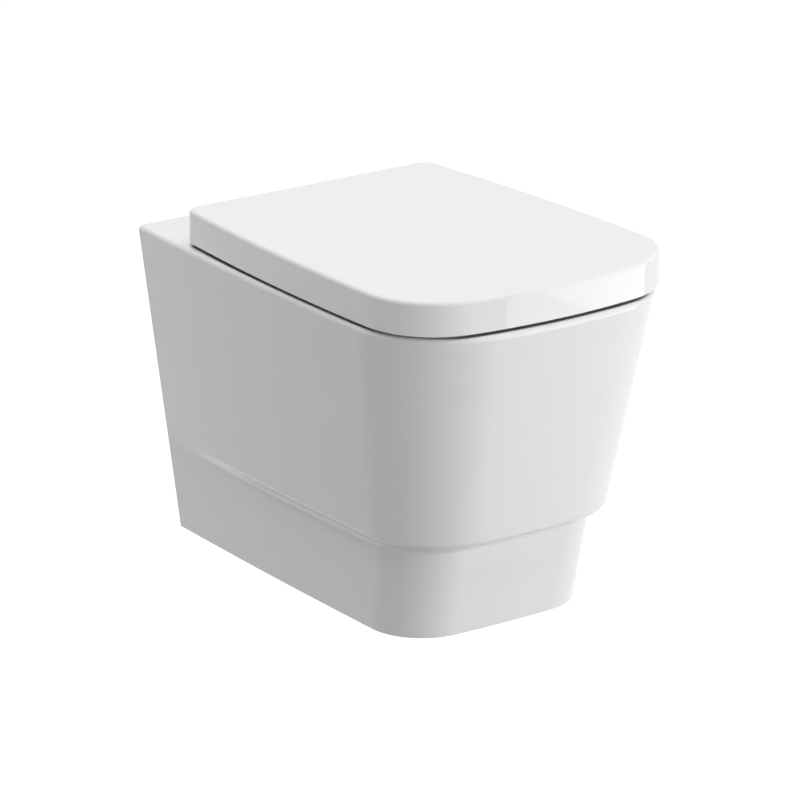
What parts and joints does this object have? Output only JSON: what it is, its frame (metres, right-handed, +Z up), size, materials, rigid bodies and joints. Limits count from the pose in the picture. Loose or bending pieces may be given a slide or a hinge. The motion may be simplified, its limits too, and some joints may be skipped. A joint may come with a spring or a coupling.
{
  "type": "wall hung toilet",
  "caption": "White wall hung toilet: flared fully skirted china pan with a low step, rim flush and P-trap, under a wrap-over soft-close seat and cover.",
  "frame": {"origin": "midway between the two wall fixing holes, on the plane of the finished wall", "axes": "+Y into the wall along the fixings, so the pan reaches out towards -Y; +Z up; X across the pan"},
  "size_m": [0.3484, 0.5274, 0.3874],
  "materials": {
    "china": "glossy white glaze",
    "white_plastic": "glossy white thermoset",
    "black_rubber": "matt",
    "clear_grey_rubber": "satin",
    "white_nylon": "satin",
    "grey_nylon": "satin",
    "dark_plastic": "satin",
    "zinc_steel": "bright zinc",
    "stainless_steel": "fine brushed",
    "chromed_metal": "polished",
    "brass": "turned"
  },
  "bodies": {
    "pan_assembly": {"pan": "china", "bowl_and_trap": "china", "inlet_horn": "china", "fixing_sleeves": "white_nylon", "fixing_washers": "zinc_steel", "fixing_nuts": "zinc_steel", "inlet_seal": "black_rubber", "hinge_arm_left": "chromed_metal", "hinge_arm_right": "chromed_metal", "lid_damper": "dark_plastic", "seat_damper": "dark_plastic", "seat_hinge_pin": "stainless_steel", "lid_hinge_pin": "stainless_steel", "hinge_bolts": "stainless_steel", "hinge_pads": "clear_grey_rubber", "expanding_plugs": "black_rubber", "plug_nuts": "brass"},
    "seat": {"seat_ring": "white_plastic", "seat_buffers": "clear_grey_rubber", "seat_hinge_lug_left": "grey_nylon", "seat_hinge_lug_right": "grey_nylon", "seat_hinge_screws": "stainless_steel", "seat_damper_shaft": "stainless_steel"},
    "lid": {"lid": "white_plastic", "lid_buffers": "clear_grey_rubber", "lid_hinge_lug_left": "grey_nylon", "lid_hinge_lug_right": "grey_nylon", "lid_hinge_screws": "stainless_steel", "lid_damper_shaft": "stainless_steel"}
  },
  "joints": [
    {"name": "seat_hinge", "type": "hinge", "parent": "pan_assembly", "child": "seat", "pos_m": [0, -0.0927, 0.102], "axis": [-1, 0, 0], "range_deg": [0, 91]},
    {"name": "lid_hinge", "type": "hinge", "parent": "seat", "child": "lid", "pos_m": [0, -0.0927, 0.102], "axis": [-1, 0, 0], "range_deg": [0, 91]}
  ]
}
